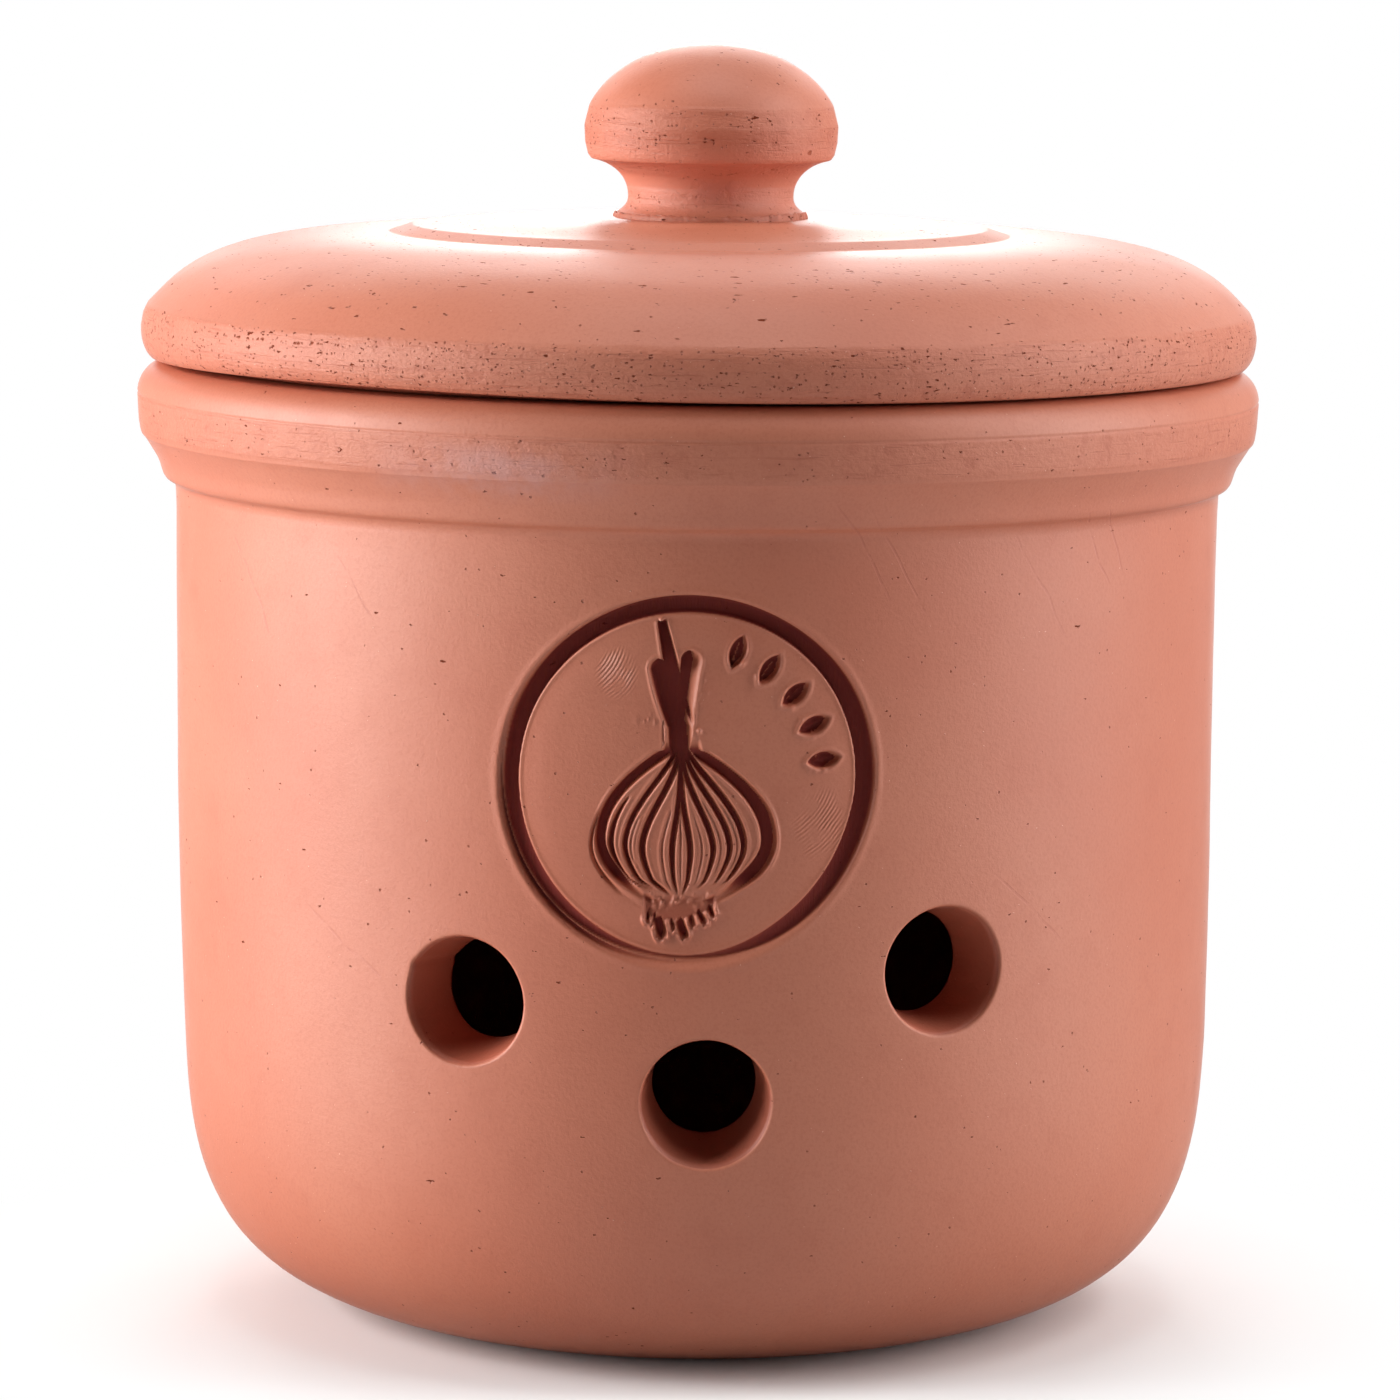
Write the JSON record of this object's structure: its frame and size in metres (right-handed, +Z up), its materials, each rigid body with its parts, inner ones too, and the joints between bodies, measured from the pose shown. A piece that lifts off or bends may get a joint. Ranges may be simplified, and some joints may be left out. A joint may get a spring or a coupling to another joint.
{
  "type": "onion keeper",
  "caption": "Round terracotta storage jar with a rolled collar, a pressed onion mark and air holes at the front, and a loose domed lid with a turned mushroom knob",
  "frame": {"origin": "middle of the jar's flat foot, on the table", "axes": "+Z up along the jar's axis; -Y is the front with the pressed mark and the air holes; +X is the viewer's right from the front"},
  "size_m": [0.1848, 0.1848, 0.208],
  "materials": {
    "jar_clay": "unglazed, sponged smooth",
    "lid_clay": "unglazed, turned rim",
    "knob_clay": "unglazed, turned",
    "slip": "unglazed, rough"
  },
  "bodies": {
    "jar": {"pot_body": "jar_clay"},
    "lid_body": {"lid": "lid_clay", "lid_knob": "knob_clay", "knob_slip": "slip"}
  },
  "joints": [
    {"name": "lid_lift", "type": "slide", "parent": "jar", "child": "lid_body", "axis": [0, 0, 1], "range_m": [0, 0.12]}
  ]
}
